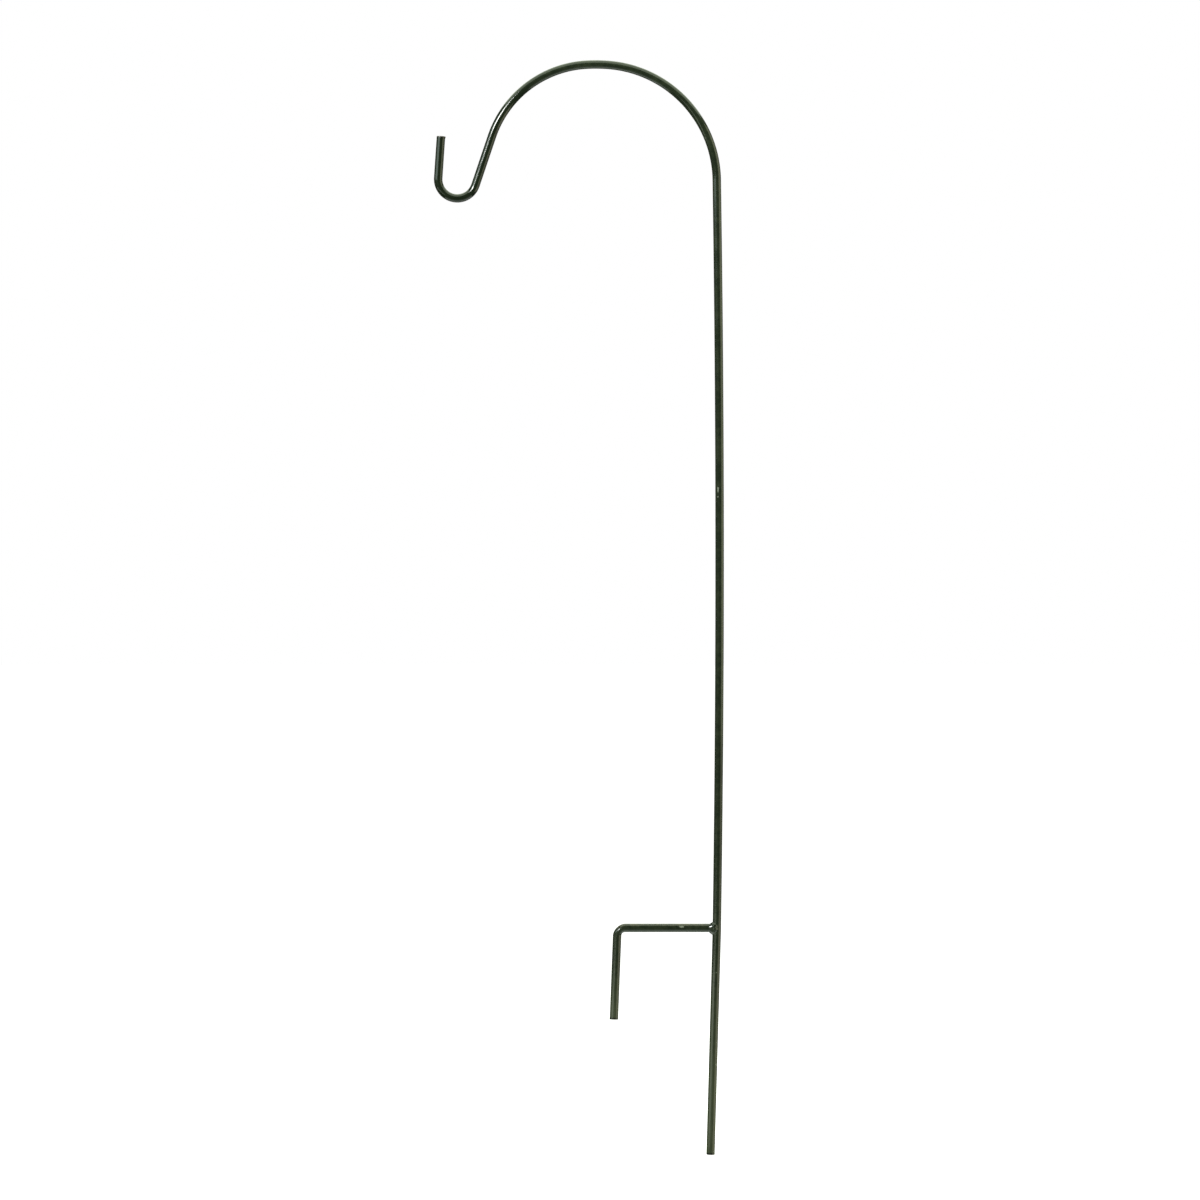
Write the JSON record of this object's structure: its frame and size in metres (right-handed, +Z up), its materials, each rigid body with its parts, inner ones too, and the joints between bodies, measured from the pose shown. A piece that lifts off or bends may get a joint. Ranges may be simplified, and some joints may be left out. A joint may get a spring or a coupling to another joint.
{
  "type": "step-in shepherd's hook stake",
  "caption": "Round-rod shepherd's hook: a bowed shaft with a crook and small hook at the top, and a welded L-shaped step with a prong beside the ground spike.",
  "frame": {"origin": "on the shaft's axis at the ground line, which is the plane of the step bar's underside", "axes": "+Z up along the shaft, +X away from the hook and the step, +Y through the thin direction; the stake lies flat in the XZ plane"},
  "size_m": [0.2424, 0.0104, 0.9151],
  "materials": {
    "main_rod_enamel": "dark green gloss enamel over steel",
    "step_foot_enamel": "dark green gloss enamel over steel, rubbed along the top of the step",
    "weld_bead_enamel": "dark green enamel pooled over a rippled weld"
  },
  "bodies": {
    "root": {"main_rod": "main_rod_enamel", "step_foot": "step_foot_enamel", "weld_bead": "weld_bead_enamel"}
  },
  "joints": []
}
